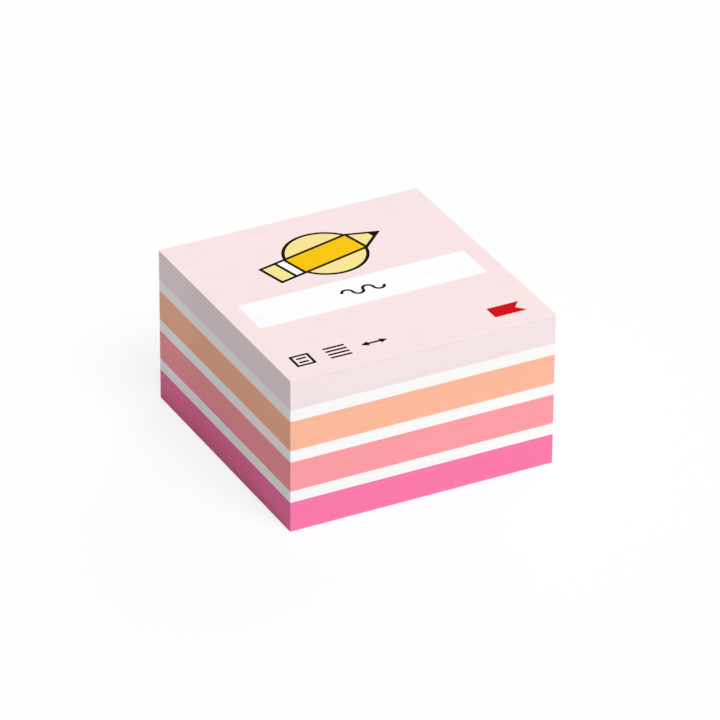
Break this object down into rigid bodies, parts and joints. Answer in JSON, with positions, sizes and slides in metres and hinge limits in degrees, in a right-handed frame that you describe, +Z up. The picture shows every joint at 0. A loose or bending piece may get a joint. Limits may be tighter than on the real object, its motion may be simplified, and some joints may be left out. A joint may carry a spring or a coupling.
{
  "type": "sticky note cube",
  "caption": "Square cube of loose sticky notes in pink, coral and peach runs parted by thin white runs, glued along the back edge, with a printed top sheet. Peel the top note to use it.",
  "frame": {"origin": "middle of the base", "axes": "+Z up the stack, +Y from the free front edge of the notes to their glued back edge, +X from left to right"},
  "size_m": [0.076, 0.076, 0.0443],
  "materials": {
    "backing": "matt release paper",
    "hot_pink_paper": "matt uncoated paper",
    "coral_paper": "matt uncoated paper",
    "peach_paper": "matt uncoated paper",
    "pale_pink_paper": "matt uncoated paper",
    "white_paper": "matt uncoated paper",
    "glue": "dried low-tack glue",
    "black_ink": "printed paper",
    "red_ink": "printed paper",
    "deep_yellow_ink": "printed paper",
    "pale_yellow_ink": "printed paper",
    "white_ink": "printed paper"
  },
  "bodies": {
    "root": {"backing_sheet": "backing", "hot_pink_notes": "hot_pink_paper", "lower_white_notes": "white_paper", "coral_notes": "coral_paper", "middle_white_notes": "white_paper", "peach_notes": "peach_paper", "upper_white_notes": "white_paper", "pale_pink_notes": "pale_pink_paper", "cover_sheet": "pale_pink_paper", "glue_under_hot_pink_notes": "glue", "glue_under_lower_white_notes": "glue", "glue_under_coral_notes": "glue", "glue_under_middle_white_notes": "glue", "glue_under_peach_notes": "glue", "glue_under_upper_white_notes": "glue", "glue_under_pale_pink_notes": "glue", "glue_under_cover_sheet": "glue", "black_print": "black_ink", "red_print": "red_ink", "deep_yellow_print": "deep_yellow_ink", "pale_yellow_print": "pale_yellow_ink", "white_print": "white_ink"}
  },
  "joints": []
}
